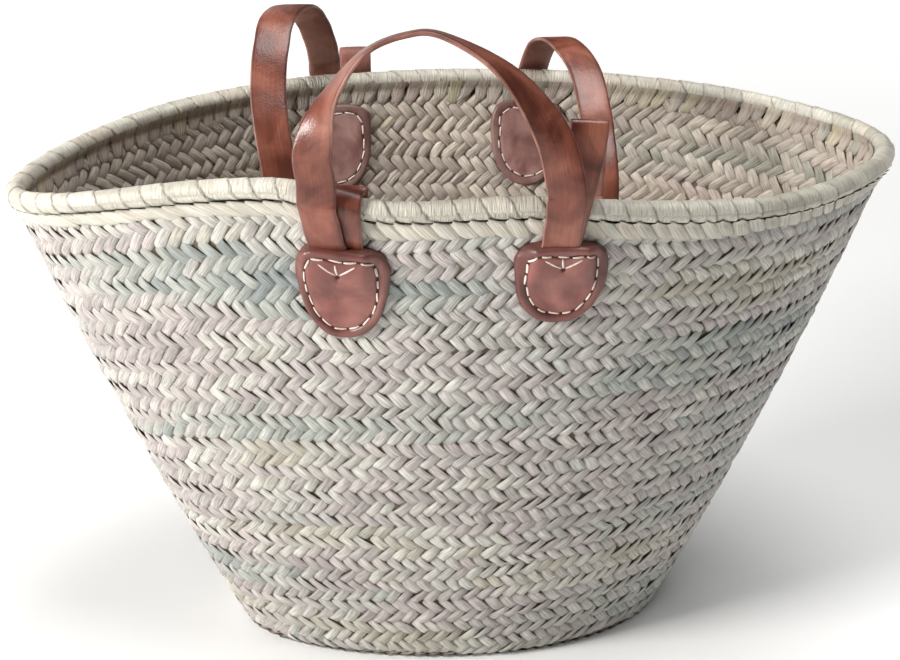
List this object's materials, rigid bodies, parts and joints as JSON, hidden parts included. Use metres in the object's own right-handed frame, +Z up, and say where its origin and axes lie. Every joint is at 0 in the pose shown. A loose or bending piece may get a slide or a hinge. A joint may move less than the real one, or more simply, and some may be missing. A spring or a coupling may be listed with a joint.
{
  "type": "woven market basket",
  "caption": "Oval strip-woven market basket, open at the top, with a rope rim and leather handles that swing on stitched leather patches.",
  "frame": {"origin": "middle of the base's underside, on the ground", "axes": "+X along the mouth to the right when seen from the front; -Y is the front wall, where the short handle stands up; +Z up"},
  "size_m": [0.5725, 0.407, 0.4551],
  "materials": {
    "palm_weave": "dry, slightly satin palm leaf",
    "base_weave": "dry, scuffed palm leaf",
    "rope": "rough twisted fibre",
    "rim_leaf": "smooth, satin palm leaf",
    "lacing_leaf": "satin palm leaf",
    "strap_leather": "waxed, semi-gloss",
    "patch_leather": "semi-gloss, lightly creased",
    "inner_patch_leather": "satin",
    "waxed_thread": "waxed"
  },
  "bodies": {
    "basket": {"base": "base_weave", "course_1": "palm_weave", "course_2": "palm_weave", "course_3": "palm_weave", "course_4": "palm_weave", "course_5": "palm_weave", "course_6": "palm_weave", "rim_core": "rope", "rim_wrap": "rim_leaf", "rim_lacing": "lacing_leaf", "outer_patch_front_left": "patch_leather", "outer_patch_front_right": "patch_leather", "outer_patch_back_left": "patch_leather", "outer_patch_back_right": "patch_leather", "inner_patch_front_left": "inner_patch_leather", "inner_patch_front_right": "inner_patch_leather", "inner_patch_back_left": "inner_patch_leather", "inner_patch_back_right": "inner_patch_leather", "thread_front_left": "waxed_thread", "thread_front_right": "waxed_thread", "thread_back_left": "waxed_thread", "thread_back_right": "waxed_thread", "front_short_end_left": "strap_leather", "front_short_end_right": "strap_leather", "front_long_end_left": "strap_leather", "front_long_end_right": "strap_leather", "back_short_end_left": "strap_leather", "back_short_end_right": "strap_leather", "back_long_end_left": "strap_leather", "back_long_end_right": "strap_leather"},
    "front_short_handle": {"front_short_loop": "strap_leather"},
    "front_long_handle": {"front_long_loop": "strap_leather"},
    "back_short_handle": {"back_short_loop": "strap_leather"},
    "back_long_handle": {"back_long_loop": "strap_leather"}
  },
  "joints": [
    {"name": "front_short_hinge", "type": "hinge", "parent": "basket", "child": "front_short_handle", "pos_m": [-0.0349, -0.14919, 0.36309], "axis": [0.9838, -0.1792, 0.0018], "range_deg": [0, 140]},
    {"name": "front_long_hinge", "type": "hinge", "parent": "basket", "child": "front_long_handle", "pos_m": [-0.01774, -0.12812, 0.35236], "axis": [0.9881, -0.154, -0.0041], "range_deg": [0, 140]},
    {"name": "back_short_hinge", "type": "hinge", "parent": "basket", "child": "back_short_handle", "pos_m": [-0.00154, 0.15571, 0.36068], "axis": [1, 0.0033, 0.0011], "range_deg": [0, 240]},
    {"name": "back_long_hinge", "type": "hinge", "parent": "basket", "child": "back_long_handle", "pos_m": [-0.00101, 0.14832, 0.35914], "axis": [-1, -0.0022, -0.0022], "range_deg": [0, 122]}
  ]
}
